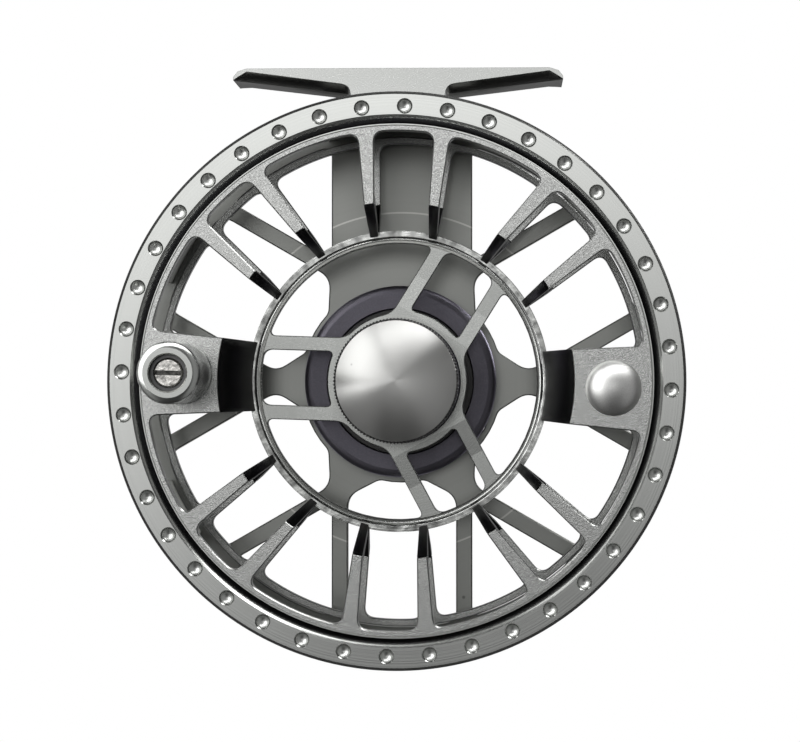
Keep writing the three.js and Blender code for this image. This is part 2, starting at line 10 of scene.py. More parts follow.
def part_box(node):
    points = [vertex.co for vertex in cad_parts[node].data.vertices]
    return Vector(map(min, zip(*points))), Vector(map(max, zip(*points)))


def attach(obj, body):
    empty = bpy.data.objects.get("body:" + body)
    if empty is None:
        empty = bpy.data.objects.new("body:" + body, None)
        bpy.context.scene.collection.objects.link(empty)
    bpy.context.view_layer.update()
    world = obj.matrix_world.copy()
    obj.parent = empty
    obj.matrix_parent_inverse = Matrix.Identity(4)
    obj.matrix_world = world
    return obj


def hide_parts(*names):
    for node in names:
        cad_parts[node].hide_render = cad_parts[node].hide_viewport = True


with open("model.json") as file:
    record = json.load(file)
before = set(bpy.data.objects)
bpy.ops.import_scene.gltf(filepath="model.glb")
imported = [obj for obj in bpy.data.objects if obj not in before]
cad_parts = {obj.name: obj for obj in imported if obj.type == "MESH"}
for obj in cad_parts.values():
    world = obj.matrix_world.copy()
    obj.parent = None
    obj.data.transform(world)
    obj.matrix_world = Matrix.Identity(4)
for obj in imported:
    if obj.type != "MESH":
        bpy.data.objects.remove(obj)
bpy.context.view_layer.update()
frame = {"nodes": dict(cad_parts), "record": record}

# ------------------------------------------------------------------ the place of things
# The spindle runs along Y. Its height and the plane of the spool's front face
# come from the frame; every radius below is measured from the spindle and
# every depth back from that face.
MM = 0.001
spool_low, spool_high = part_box("spool_front_flange")
AXLE_Z = (spool_low.z + spool_high.z) / 2
FACE_Y = spool_low.y
REST_TURN = math.radians(1.9)


def in_row(radius_mm, degrees, depth_mm):
    angle = math.radians(degrees)
    return Vector((radius_mm * MM * math.cos(angle), FACE_Y + depth_mm * MM,
                   AXLE_Z + radius_mm * MM * math.sin(angle)))


# ------------------------------------------------------------------------------- camera
# A long lens at spindle height, a little to the right of the spindle.
camera = bpy.data.objects.new("camera", bpy.data.cameras.new("camera"))
bpy.context.scene.collection.objects.link(camera)
camera.data.lens = 122.9
camera.data.sensor_width = 36
camera.data.clip_start = 0.01
camera.location = (0.018, FACE_Y - 0.470, AXLE_Z - 0.0024)
aim = Vector((0.00077, FACE_Y, AXLE_Z + 0.0017)) - camera.location
camera.rotation_euler = aim.to_track_quat("-Z", "Y").to_euler()
bpy.context.scene.camera = camera

# ------------------------------------------------------------------------ floor and light
# A pale floor well below the reel, a graded surround, and four soft boxes: the
# key on the left, one above in front, a small one above and one on the right,
# both behind. The camera sees the surround as white.
floor_mesh = bmesh.new()
bmesh.ops.create_grid(floor_mesh, x_segments=1, y_segments=1, size=0.75,
                      matrix=Matrix.Translation((0, 0, -0.26)))
floor_data = bpy.data.meshes.new("floor")
floor_mesh.to_mesh(floor_data)
floor_mesh.free()
floor = bpy.data.objects.new("floor", floor_data)
bpy.context.scene.collection.objects.link(floor)
floor_paint = bpy.data.materials.new("floor_paint")
floor_paint.use_nodes = True
floor_shader = floor_paint.node_tree.nodes["Principled BSDF"]
floor_shader.inputs["Base Color"].default_value = (0.86, 0.86, 0.85, 1)
floor_shader.inputs["Roughness"].default_value = 0.9
floor_data.materials.append(floor_paint)
floor.visible_glossy = False

world = bpy.data.worlds.new("studio")
bpy.context.scene.world = world
world.use_nodes = True
sky = world.node_tree
sky.nodes.clear()
direction = sky.nodes.new("ShaderNodeTexCoord")


def sky_share(toward, dark_at, light_at, dark, light, interpolation="LINEAR"):
    """How strong the surround is, by the part of its direction along an axis."""
    along = sky.nodes.new("ShaderNodeVectorMath")
    along.operation = "DOT_PRODUCT"
    along.inputs[1].default_value = Vector(toward).normalized()
    share = sky.nodes.new("ShaderNodeMapRange")
    share.interpolation_type = interpolation
    share.inputs["From Min"].default_value = dark_at
    share.inputs["From Max"].default_value = light_at
    share.inputs["To Min"].default_value = dark
    share.inputs["To Max"].default_value = light
    sky.links.new(direction.outputs["Generated"], along.inputs[0])
    sky.links.new(along.outputs["Value"], share.inputs["Value"])
    return share.outputs["Result"]


def lit(share, where, rest):
    """A light that is strong where both shares are, on top of the rest."""
    sum_up = sky.nodes.new("ShaderNodeMath")
    sum_up.operation = "MULTIPLY_ADD"
    sky.links.new(share, sum_up.inputs[0])
    sky.links.new(where, sum_up.inputs[1])
    if isinstance(rest, float):
        sum_up.inputs[2].default_value = rest
    else:
        sky.links.new(rest, sum_up.inputs[2])
    return sum_up.outputs[0]


# In front, a screen that is bright above and on the left and fades to nothing
# below, with a dimmer wall on either side of it. Behind, a ring of soft light.
# Across the reel, where its chamfers look, the studio is almost dark.
surround = lit(sky_share((0, 1, 0), 0.30, 0.65, 0, 0.5, "SMOOTHSTEP"),
               sky_share((0, 1, 0), 0.93, 0.98, 1.0, 0.3, "SMOOTHSTEP"), 0.055)
for side in (-1, 1):
    surround = lit(sky_share((side, 0, 0), 0.25, 0.55, 0, 0.34, "SMOOTHSTEP"),
                   sky_share((0, -1, 0), 0.14, 0.40, 0, 1, "SMOOTHSTEP"), surround)
surround = lit(sky_share((-0.34, 0, 0.94), -0.104, 0.16, 0.0, 2.25),
               sky_share((0, -1, 0), 0.935, 0.992, 0, 1, "SMOOTHSTEP"), surround)
ambient = sky.nodes.new("ShaderNodeBackground")
ambient.inputs["Color"].default_value = (1, 1, 1, 1)
white = sky.nodes.new("ShaderNodeBackground")
white.inputs["Color"].default_value = (1, 1, 1, 1)
ray = sky.nodes.new("ShaderNodeLightPath")
open_to = sky.nodes.new("ShaderNodeMath")
open_to.operation = "MAXIMUM"
sky.links.new(ray.outputs["Is Camera Ray"], open_to.inputs[0])
sky.links.new(ray.outputs["Is Diffuse Ray"], open_to.inputs[1])
choose = sky.nodes.new("ShaderNodeMixShader")
sky_out = sky.nodes.new("ShaderNodeOutputWorld")
sky.links.new(surround, ambient.inputs["Strength"])
sky.links.new(open_to.outputs[0], choose.inputs[0])
sky.links.new(ambient.outputs[0], choose.inputs[1])
sky.links.new(white.outputs[0], choose.inputs[2])
sky.links.new(choose.outputs[0], sky_out.inputs[0])

bpy.context.scene.view_settings.view_transform = "Standard"

for name, place, width, height, watts in (
        ("key", (-0.28, -0.26, 0.10), 0.34, 0.54, 2.0),
        ("top", (0.10, -0.20, 0.34), 0.56, 0.18, 2.0),
        ("above", (0.02, 0.26, 0.40), 0.24, 0.10, 0.6),
        ("back", (0.52, 0.42, 0.22), 0.35, 0.35, 3.0)):
    lamp = bpy.data.lights.new(name, "AREA")
    lamp.shape = "RECTANGLE"
    lamp.size = width
    lamp.size_y = height
    lamp.energy = watts
    lamp_object = bpy.data.objects.new(name, lamp)
    lamp_object.location = place
    lamp_object.rotation_euler = (Vector((0, 0, AXLE_Z)) - Vector(place)).to_track_quat(
        "-Z", "Y").to_euler()
    bpy.context.scene.collection.objects.link(lamp_object)

# ------------------------------------------------------------------------ metal finishes
# Every metal piece shows how it was cut. Turning leaves rings about the
# spindle, bead blasting leaves a fine sparkling grain, and handling leaves
# smudges and a few small nicks.


def effect_group(name, inputs, outputs):
    group = bpy.data.node_groups.new(name, "ShaderNodeTree")
    for socket, default in inputs:
        made = group.interface.new_socket(socket, in_out="INPUT", socket_type="NodeSocketFloat")
        made.default_value = default
    for socket in outputs:
        group.interface.new_socket(socket, in_out="OUTPUT", socket_type="NodeSocketFloat")
    return group, group.nodes.new("NodeGroupInput"), group.nodes.new("NodeGroupOutput")


def math_node(tree, operation, first, second=0.0):
    node = tree.nodes.new("ShaderNodeMath")
    node.operation = operation
    for slot, value in enumerate((first, second)):
        if isinstance(value, bpy.types.NodeSocket):
            tree.links.new(value, node.inputs[slot])
        else:
            node.inputs[slot].default_value = value
    return node.outputs[0]


def noise_node(tree, scale, detail, vector=None, dimensions="3D"):
    node = tree.nodes.new("ShaderNodeTexNoise")
    node.noise_dimensions = dimensions
    node.inputs["Detail"].default_value = detail
    node.inputs["Scale"].default_value = scale
    if vector is not None:
        tree.links.new(vector, node.inputs["Vector"])
    return node


turning, turning_in, turning_out = effect_group(
    "turning_marks", [("Centre X", 0.0), ("Centre Z", AXLE_Z), ("Rings per mm", 3.0)],
    ["Height", "Tone", "Radius"])
place = turning.nodes.new("ShaderNodeTexCoord")
apart = turning.nodes.new("ShaderNodeSeparateXYZ")
turning.links.new(place.outputs["Object"], apart.inputs[0])
across = math_node(turning, "SUBTRACT", apart.outputs["X"], turning_in.outputs["Centre X"])
up = math_node(turning, "SUBTRACT", apart.outputs["Z"], turning_in.outputs["Centre Z"])
radius = math_node(turning, "SQRT", math_node(
    turning, "ADD", math_node(turning, "MULTIPLY", across, across),
    math_node(turning, "MULTIPLY", up, up)))
rings = math_node(turning, "MULTIPLY", radius, math_node(
    turning, "MULTIPLY", turning_in.outputs["Rings per mm"], 1000.0))
fine_rings = noise_node(turning, 1.0, 2.0, dimensions="1D")
turning.links.new(rings, fine_rings.inputs["W"])
slow_rings = noise_node(turning, 0.12, 1.0, dimensions="1D")
turning.links.new(rings, slow_rings.inputs["W"])
turning.links.new(radius, turning_out.inputs["Radius"])
turning.links.new(fine_rings.outputs["Fac"], turning_out.inputs["Height"])
turning.links.new(math_node(turning, "ADD", math_node(
    turning, "MULTIPLY", fine_rings.outputs["Fac"], 0.6), math_node(
    turning, "MULTIPLY", slow_rings.outputs["Fac"], 0.4)), turning_out.inputs["Tone"])

blast, blast_in, blast_out = effect_group(
    "blasted_grain", [("Grains per mm", 5.0)], ["Height", "Speck"])
place = blast.nodes.new("ShaderNodeTexCoord")
grain = noise_node(blast, 1.0, 2.0, place.outputs["Object"])
blast.links.new(math_node(blast, "MULTIPLY", blast_in.outputs["Grains per mm"], 1000.0),
                grain.inputs["Scale"])
blast.links.new(grain.outputs["Fac"], blast_out.inputs["Height"])
specks = blast.nodes.new("ShaderNodeMapRange")
specks.inputs["From Min"].default_value = 0.56
specks.inputs["From Max"].default_value = 0.72
blast.links.new(grain.outputs["Fac"], specks.inputs["Value"])
blast.links.new(specks.outputs["Result"], blast_out.inputs["Speck"])

handling, handling_in, handling_out = effect_group(
    "handling", [("Smudges per m", 60.0)], ["Smudge", "Nick"])
place = handling.nodes.new("ShaderNodeTexCoord")
sideways = handling.nodes.new("ShaderNodeVectorMath")
sideways.operation = "MULTIPLY"
sideways.inputs[1].default_value = (0.4, 1, 1)
handling.links.new(place.outputs["Object"], sideways.inputs[0])
smudge = noise_node(handling, 60.0, 3.0, sideways.outputs["Vector"])
handling.links.new(handling_in.outputs["Smudges per m"], smudge.inputs["Scale"])
handling.links.new(smudge.outputs["Fac"], handling_out.inputs["Smudge"])
nicks = handling.nodes.new("ShaderNodeTexVoronoi")
nicks.inputs["Scale"].default_value = 260.0
handling.links.new(place.outputs["Object"], nicks.inputs["Vector"])
small = handling.nodes.new("ShaderNodeMapRange")
small.inputs["From Min"].default_value = 0.10
small.inputs["From Max"].default_value = 0.05
handling.links.new(nicks.outputs["Distance"], small.inputs["Value"])
apart = handling.nodes.new("ShaderNodeSeparateColor")
handling.links.new(nicks.outputs["Color"], apart.inputs["Color"])
few = math_node(handling, "GREATER_THAN", apart.outputs[0], 0.93)
handling.links.new(math_node(handling, "MULTIPLY", small.outputs["Result"], few),
                   handling_out.inputs["Nick"])


def metal(name, colour, roughness, turned=0.0, blasted=0.0, smudged=0.12, anisotropy=0.0,
          metallic=1.0, centre=(0.0, None), rings_per_mm=3.0, grains_per_mm=5.0):
    material = bpy.data.materials.new(name)
    material.use_nodes = True
    tree = material.node_tree
    shader = tree.nodes["Principled BSDF"]
    shader.inputs["Metallic"].default_value = metallic
    effects = {}
    for effect in (turning, blast, handling):
        node = tree.nodes.new("ShaderNodeGroup")
        node.node_tree = effect
        effects[effect.name] = node
    rings_node = effects["turning_marks"]
    rings_node.inputs["Centre X"].default_value = centre[0]
    rings_node.inputs["Centre Z"].default_value = AXLE_Z if centre[1] is None else centre[1]
    rings_node.inputs["Rings per mm"].default_value = rings_per_mm
    effects["blasted_grain"].inputs["Grains per mm"].default_value = grains_per_mm

    tone = math_node(tree, "ADD", math_node(
        tree, "MULTIPLY", math_node(tree, "SUBTRACT", rings_node.outputs["Tone"], 0.5), turned * 1.2),
        math_node(tree, "MULTIPLY", math_node(
            tree, "SUBTRACT", effects["blasted_grain"].outputs["Height"], 0.45), blasted * 1.6))
    tone = math_node(tree, "ADD", tone, math_node(
        tree, "MULTIPLY", math_node(tree, "SUBTRACT", effects["handling"].outputs["Smudge"], 0.5),
        smudged * 1.5))
    tone = math_node(tree, "ADD", math_node(tree, "ADD", tone, 0.5), math_node(
        tree, "MULTIPLY", effects["handling"].outputs["Nick"], -0.6))
    ramp = tree.nodes.new("ShaderNodeValToRGB")
    ramp.color_ramp.elements[0].color = (*[c * 0.55 for c in colour], 1)
    ramp.color_ramp.elements[1].color = (*[min(1.0, c * 1.45) for c in colour], 1)
    tree.links.new(tone, ramp.inputs[0])
    tree.links.new(ramp.outputs["Color"], shader.inputs["Base Color"])

    rough = math_node(tree, "ADD", roughness - smudged / 2, math_node(
        tree, "MULTIPLY", effects["handling"].outputs["Smudge"], smudged))
    rough = math_node(tree, "SUBTRACT", rough, math_node(
        tree, "MULTIPLY", effects["blasted_grain"].outputs["Speck"], 0.15 * min(1.0, blasted * 4)))
    tree.links.new(rough, shader.inputs["Roughness"])
    if anisotropy:
        # The highlight spreads across the turning marks, away from the centre.
        shader.inputs["Anisotropic"].default_value = anisotropy
        place = tree.nodes.new("ShaderNodeTexCoord")
        outward = tree.nodes.new("ShaderNodeVectorMath")
        outward.operation = "SUBTRACT"
        outward.inputs[1].default_value = (0, 0, AXLE_Z)
        tree.links.new(place.outputs["Object"], outward.inputs[0])
        tree.links.new(outward.outputs[0], shader.inputs["Tangent"])
    height = math_node(tree, "ADD", math_node(
        tree, "MULTIPLY", rings_node.outputs["Height"], turned), math_node(
        tree, "MULTIPLY", effects["blasted_grain"].outputs["Height"], blasted))
    bump = tree.nodes.new("ShaderNodeBump")
    bump.inputs["Distance"].default_value = 0.05 * MM
    bump.inputs["Strength"].default_value = 0.6
    tree.links.new(height, bump.inputs["Height"])
    tree.links.new(bump.outputs[0], shader.inputs["Normal"])
    return material


# ----------------------------------------------------------------- palming rim and groove
# The rim is turned with the spool from one bar: a flat satin face with forty
# round dimples, a skirt behind it that covers the frame, and a narrow groove
# inside it. The hand brakes the spool on this rim.
RIM_OUTER, RIM_INNER, GROOVE_INNER = 50.0, 45.75, 44.2
GROOVE_FLOOR, WEB = 1.4, 2.2
SKIRT_INNER, SKIRT_BACK = 48.2, 5.5
DIMPLES, DIMPLE_PITCH, DIMPLE_RADIUS, DIMPLE_SINK = 40, 47.42, 1.12, 0.8
BOWL = DIMPLE_RADIUS / math.sin(math.radians(60))
SATIN_GREY = (0.47, 0.478, 0.463)


def as_object(name, mesh):
    data = bpy.data.meshes.new(name)
    mesh.to_mesh(data)
    mesh.free()
    made = bpy.data.objects.new(name, data)
    bpy.context.scene.collection.objects.link(made)
    return made


def outline_spun(mesh, outline, steps, angle=math.tau, start=0.0, closed=True):
    """Turns an outline of (radius, depth) in mm about the spindle."""
    low = len(mesh.verts)
    points = [mesh.verts.new(in_row(radius, math.degrees(start), depth))
              for radius, depth in outline]
    pairs = list(zip(points, points[1:])) + ([(points[-1], points[0])] if closed else [])
    edges = [mesh.edges.new(pair) for pair in pairs]
    full = angle >= math.tau
    geometry = points + edges
    if not full:
        geometry.append(mesh.faces.new(points))
    bmesh.ops.spin(mesh, geom=geometry, cent=(0, 0, AXLE_Z), axis=(0, -1, 0), angle=angle,
                   steps=steps, use_merge=full, use_duplicate=False)
    mesh.verts.ensure_lookup_table()
    return mesh.verts[low:]


def rounded_edges(mesh, width_mm, segments=2, sharper_than=28):
    """Breaks every sharp edge of a machined piece by a small width."""
    sharp = [edge for edge in mesh.edges if edge.is_manifold
             and edge.calc_face_angle(0) > math.radians(sharper_than)]
    bmesh.ops.bevel(mesh, geom=sharp, offset=width_mm * MM, offset_type="OFFSET",
                    segments=segments, profile=0.5, affect="EDGES", material=-1,
                    clamp_overlap=True)


def closed_and_out(mesh):
    bmesh.ops.remove_doubles(mesh, verts=mesh.verts, dist=0.002 * MM)
    bmesh.ops.recalc_face_normals(mesh, faces=mesh.faces)


def turned_piece(name, outline, steps=160, edge=0.12, centre=None, closed=True, segments=2):
    mesh = bmesh.new()
    outline_spun(mesh, outline, steps, closed=closed)
    closed_and_out(mesh)
    if edge:
        rounded_edges(mesh, edge, segments)
    if centre:
        bmesh.ops.translate(mesh, verts=mesh.verts, vec=in_row(*centre, 0) - in_row(0, 0, 0))
    return as_object(name, mesh)


def smooth(piece, degrees=32, square=0.9999):
    """Shades curved faces smooth and leaves faces square to the spindle flat."""
    piece.data.set_sharp_from_angle(angle=math.radians(degrees))
    for face in piece.data.polygons:
        face.use_smooth = abs(face.normal.y) < square


def circle(radius, count=220, centre=(0.0, 0.0)):
    return [(centre[0] + radius * math.cos(math.tau * i / count),
             centre[1] + radius * math.sin(math.tau * i / count)) for i in range(count)]


def flat_piece(name, loops, front, back, edge):
    """A plate cut from sheet: closed outlines in mm, seen from the front."""
    curve = bpy.data.curves.new(name, "CURVE")
    curve.dimensions = "2D"
    curve.fill_mode = "BOTH"
    curve.extrude = ((back - front) / 2 - edge) * MM
    curve.bevel_depth = edge * MM
    curve.bevel_resolution = 0
    curve.offset = -edge * MM
    for loop in loops:
        spline = curve.splines.new("POLY")
        spline.points.add(len(loop) - 1)
        for point, (x, y) in zip(spline.points, loop):
            point.co = (x * MM, y * MM, 0, 1)
        spline.use_cyclic_u = True
    rough = bpy.data.objects.new(name + "_outline", curve)
    bpy.context.scene.collection.objects.link(rough)
    bpy.context.view_layer.update()
    data = bpy.data.meshes.new_from_object(rough.evaluated_get(
        bpy.context.evaluated_depsgraph_get()))
    bpy.data.objects.remove(rough)
    bpy.data.curves.remove(curve)
    mesh = bmesh.new()
    mesh.from_mesh(data)
    bpy.data.meshes.remove(data)
    bmesh.ops.rotate(mesh, verts=mesh.verts, cent=(0, 0, 0),
                     matrix=Matrix.Rotation(math.pi / 2, 3, "X"))
    bmesh.ops.translate(mesh, verts=mesh.verts,
                        vec=(0, FACE_Y + (front + back) / 2 * MM, AXLE_Z))
    closed_and_out(mesh)
    made = as_object(name, mesh)
    smooth(made, 25)
    return made


def turned_by(piece, angle):
    """Turns a piece's mesh about the spindle, clockwise from the front."""
    middle = Matrix.Translation((0, 0, AXLE_Z))
    piece.data.transform(middle @ Matrix.Rotation(angle, 4, "Y") @ middle.inverted())


def joined(name, pieces):
    mesh = bmesh.new()
    for piece in pieces:
        mesh.from_mesh(piece.data)
        bpy.data.objects.remove(piece)
    return as_object(name, mesh)


def fitted(piece, body, slot, material, *stands_for):
    piece.data.materials.clear()
    piece.data.materials.append(material)
    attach(piece, body)
    if stands_for:
        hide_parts(*stands_for)


satin = metal("satin_turned", SATIN_GREY, 0.19, turned=0.12, smudged=0.08, anisotropy=0.2)

dimple_places = [(DIMPLE_PITCH * math.cos(math.tau * i / DIMPLES),
                  DIMPLE_PITCH * math.sin(math.tau * i / DIMPLES)) for i in range(DIMPLES)]
rim_face = flat_piece("rim_face", [circle(RIM_OUTER - 0.3, 360), circle(RIM_INNER, 320)] + [
    circle(DIMPLE_RADIUS, 20, place) for place in dimple_places], 0, 0.9, 0.24)
rim_body = turned_piece("rim_body", [
    (RIM_OUTER - 0.35, 0.3), (RIM_OUTER, 0.7), (RIM_OUTER, SKIRT_BACK),
    (SKIRT_INNER, SKIRT_BACK), (SKIRT_INNER, WEB),
    (43.9, WEB), (43.9, 0.3), (GROOVE_INNER, 0.2), (GROOVE_INNER + 0.12, GROOVE_FLOOR),
    (GROOVE_INNER + 0.3, GROOVE_FLOOR), (RIM_INNER, 0.25), (RIM_INNER + 0.2, 0.25),
    (RIM_INNER + 0.2, 1.5), (RIM_OUTER - 0.5, 1.5), (RIM_OUTER - 0.5, 0.3)], 240, 0.0)
smooth(rim_body)
bowls = bmesh.new()
for x, z in dimple_places:
    verts = [bowls.verts.new(in_row(0, 0, DIMPLE_SINK - BOWL + BOWL * math.cos(math.radians(turn)))
                             + Vector((BOWL * math.sin(math.radians(turn)) * MM, 0, 0)))
             for turn in range(0, 61, 10)]
    edges = [bowls.edges.new(pair) for pair in zip(verts, verts[1:])]
    bmesh.ops.spin(bowls, geom=verts + edges, cent=(0, 0, AXLE_Z), axis=(0, -1, 0),
                   angle=math.tau, steps=20, use_merge=True, use_duplicate=False)
    bowls.verts.ensure_lookup_table()
    fresh = [v for v in bowls.verts if not v.tag]
    bmesh.ops.translate(bowls, verts=fresh, vec=(x * MM, 0, z * MM))
    for v in bowls.verts:
        v.tag = True
bmesh.ops.remove_doubles(bowls, verts=bowls.verts, dist=0.002 * MM)
for face in bowls.faces:
    if face.normal.y > 0:
        face.normal_flip()
rim_bowls = as_object("rim_bowls", bowls)
smooth(rim_bowls, 60)
palming_rim = joined("palming_rim", [rim_face, rim_body])
# A thin black ring lines the groove's inner wall: painted shade, so the groove reads dark all round.
groove_shade_liner = turned_piece("rim_groove_wall", [
    (GROOVE_INNER + 0.02, 0.24), (GROOVE_INNER + 0.14, GROOVE_FLOOR),
    (GROOVE_INNER + 0.08, GROOVE_FLOOR), (GROOVE_INNER - 0.04, 0.24)], 240, 0.0)
black = metal("black_anodised", (0.012, 0.012, 0.013), 0.32, turned=0.05, smudged=0.06)
fitted(groove_shade_liner, "spool", "spool_aluminium", black)
turned_by(rim_bowls, REST_TURN)
bowl_satin = metal("bowl_satin", SATIN_GREY, 0.36, smudged=0.08)
fitted(rim_bowls, "spool", "spool_aluminium", bowl_satin)
turned_by(palming_rim, REST_TURN)
fitted(palming_rim, "spool", "spool_aluminium", satin)

# ------------------------------------------------------------------------ flange windows
# Both flanges are ported alike. Spokes leave the arbor in pairs about eight
# axes; at the handle and at the counterweight the pair is one wide arm.
WINDOW_OUTER, WINDOW_FILLET = 43.15, 1.8
SPOKE_OUTSIDE, SPOKE_INSIDE, WIDE_ARM = (2.79, 0.123), (3.41, 0.042), (4.29, 0.0725)
SPOKE_AXES = range(0, 360, 45)


def edge_meets(edge, side, axis, radius):
    """Where a straight edge beside an axis crosses a circle, in mm."""
    at, slope = edge
    square, middle = 1 + slope ** 2, at * slope
    along = (-middle + math.sqrt(middle ** 2 - square * (at ** 2 - radius ** 2))) / square
    lateral = side * (at + slope * along)
    turn = math.radians(axis)
    return (along * math.cos(turn) - lateral * math.sin(turn),
            along * math.sin(turn) + lateral * math.cos(turn))


def part_way(start, end, distance):
    share = distance / math.dist(start, end)
    return (start[0] + (end[0] - start[0]) * share, start[1] + (end[1] - start[1]) * share)


def arc(radius, start, end, count):
    return [(radius * math.cos(start + (end - start) * i / count),
             radius * math.sin(start + (end - start) * i / count)) for i in range(count + 1)]


def round_corner(before, corner, after, count=8):
    points = []
    for i in range(1, count):
        t = i / count
        points.append(tuple((1 - t) ** 2 * b + 2 * t * (1 - t) * c + t ** 2 * a
                            for b, c, a in zip(before, corner, after)))
    return points


def bearing_of(point):
    return math.atan2(point[1], point[0])


def window_side(low, high, inner, outer, fillet):
    """The outline of one window from its low edge round to its high edge."""
    low_in, low_out = edge_meets(*low, inner), edge_meets(*low, outer)
    high_in, high_out = edge_meets(*high, inner), edge_meets(*high, outer)
    start_turn = bearing_of(low_out) + fillet / outer
    end_turn = bearing_of(high_out) - fillet / outer
    if end_turn < start_turn:
        end_turn += math.tau
    top = arc(outer, start_turn, end_turn, 14)
    before, after = part_way(low_out, low_in, fillet), part_way(high_out, high_in, fillet)
    return ([low_in, before] + round_corner(before, low_out, top[0]) + top
            + round_corner(top[-1], high_out, after) + [after, high_in])


def flange_windows():
    """Every window of a flange in turn: its low edge and its high edge."""
    windows = []
    for axis in SPOKE_AXES:
        wide = axis % 180 == 0
        if not wide:
            windows.append(((SPOKE_INSIDE, -1, axis), (SPOKE_INSIDE, 1, axis)))
        windows.append(((WIDE_ARM if wide else SPOKE_OUTSIDE, 1, axis),
                        (WIDE_ARM if (axis + 45) % 180 == 0 else SPOKE_OUTSIDE, -1, axis + 45)))
    return windows


def toothed_loop(inner):
    """The inner outline of a flange: out round each window and back, then
    along the end of the spoke between two windows."""
    loop = []
    sides = [window_side(low, high, inner, WINDOW_OUTER, WINDOW_FILLET)
             for low, high in flange_windows()]
    for side, following in zip(sides, sides[1:] + sides[:1]):
        loop += side
        start, end = bearing_of(side[-1]), bearing_of(following[0])
        if end < start:
            end += math.tau
        steps = max(1, round(math.degrees(end - start) / 2))
        loop += arc(inner, start, end, steps)[1:-1]
    return loop


blasted = metal("bead_blasted", (0.43, 0.435, 0.425), 0.25, blasted=0.8, smudged=0.03,
                grains_per_mm=6.5)
FACE_FOLD = 30.7
front_web = flat_piece("spool_front_web", [circle(GROOVE_INNER, 320), toothed_loop(FACE_FOLD)],
                       0, WEB, 0.2)
turned_by(front_web, REST_TURN)
fitted(front_web, "spool", "spool_aluminium", blasted, "spool_front_flange")

REAR_OUTER, REAR_FOLD, REAR_FRONT, REAR_BACK = 44.4, 32.2, 25.4, 27.4
rear_web = flat_piece("spool_rear_web", [circle(REAR_OUTER, 320), toothed_loop(REAR_FOLD)],
                      REAR_FRONT, REAR_BACK, 0.16)
turned_by(rear_web, REST_TURN)
fitted(rear_web, "spool", "spool_aluminium", blasted, "spool_rear_flange")

# ----------------------------------------------------------------------- conical arbor
# The arbor is a V: from each flange face a black cone of bars runs down to a
# narrow ring in the middle. The bars carry on the spokes of the flanges.
RING_INNER, RING_OUTER, RING_FRONT, RING_BACK = 25.6, 26.8, 14.6, 18.0
FRONT_CONE = [(FACE_FOLD, 0), (FACE_FOLD, WEB), (32.6, WEB), (27.8, RING_FRONT), (26.0, RING_FRONT)]
REAR_CONE = [(26.0, RING_BACK), (27.8, RING_BACK), (REAR_FOLD, 24.2), (REAR_FOLD, REAR_BACK),
             (30.6, REAR_BACK)]


def spoke_sides():
    """Each spoke as its two straight edges and the bearing of its middle."""
    spokes = []
    for axis in SPOKE_AXES:
        if axis % 180 == 0:
            spokes.append(((WIDE_ARM, -1, axis), (WIDE_ARM, 1, axis)))
        else:
            spokes.append(((SPOKE_OUTSIDE, -1, axis), (SPOKE_INSIDE, -1, axis)))
            spokes.append(((SPOKE_INSIDE, 1, axis), (SPOKE_OUTSIDE, 1, axis)))
    return spokes


def cut_off(mesh, edge, keep_bearing):
    """Saws a mesh along a straight edge of a spoke and closes the cut."""
    near, far = edge_meets(*edge, 24), edge_meets(*edge, 44)
    start, end = Vector((near[0], 0, near[1])), Vector((far[0], 0, far[1]))
    normal = (end - start).cross(Vector((0, 1, 0))).normalized()
    keep = Vector((math.cos(keep_bearing), 0, math.sin(keep_bearing))) * 30 - start
    if normal.dot(keep) > 0:
        normal.negate()
    cut = bmesh.ops.bisect_plane(
        mesh, geom=mesh.verts[:] + mesh.edges[:] + mesh.faces[:], dist=0.0001 * MM,
        plane_co=start * MM + Vector((0, 0, AXLE_Z)), plane_no=normal, clear_outer=True)
    rim = [part for part in cut["geom_cut"] if isinstance(part, bmesh.types.BMEdge)]
    bmesh.ops.edgeloop_fill(mesh, edges=rim)


def cone_bars(name, outline):
    bars = []
    for low, high in spoke_sides():
        turns = [bearing_of(edge_meets(*edge, 29)) for edge in (low, high)]
        if turns[1] < turns[0]:
            turns[1] += math.tau
        middle, half = sum(turns) / 2, (turns[1] - turns[0]) / 2
        reach = half + math.radians(2.5)
        mesh = bmesh.new()
        outline_spun(mesh, outline, 12 if half > 0.1 else 1, angle=2 * reach,
                     start=middle - reach)
        cut_off(mesh, low, middle)
        cut_off(mesh, high, middle)
        closed_and_out(mesh)
        rounded_edges(mesh, 0.12, 2, 40)
        bars.append(as_object("bar", mesh))
    made = joined(name, bars)
    turned_by(made, REST_TURN)
    smooth(made, 25)
    return made


fitted(cone_bars("arbor_front_bars", FRONT_CONE), "spool", "spool_aluminium", black)
fitted(cone_bars("arbor_rear_bars", REAR_CONE), "spool", "spool_aluminium", black)

mottled = metal("as_turned", (0.34, 0.345, 0.335), 0.28, turned=0.3, blasted=2.2, smudged=0.6,
                grains_per_mm=0.55)
arbor_ring = turned_piece("arbor_ring", [
    (RING_INNER, RING_FRONT), (RING_OUTER, RING_FRONT), (RING_OUTER - 0.7, 16.3),
    (RING_OUTER, RING_BACK), (RING_INNER, RING_BACK)], 220, 0.15)
smooth(arbor_ring)
turned_by(arbor_ring, REST_TURN)
fitted(arbor_ring, "spool", "arbor_aluminium", mottled, "spool_arbor_ring")

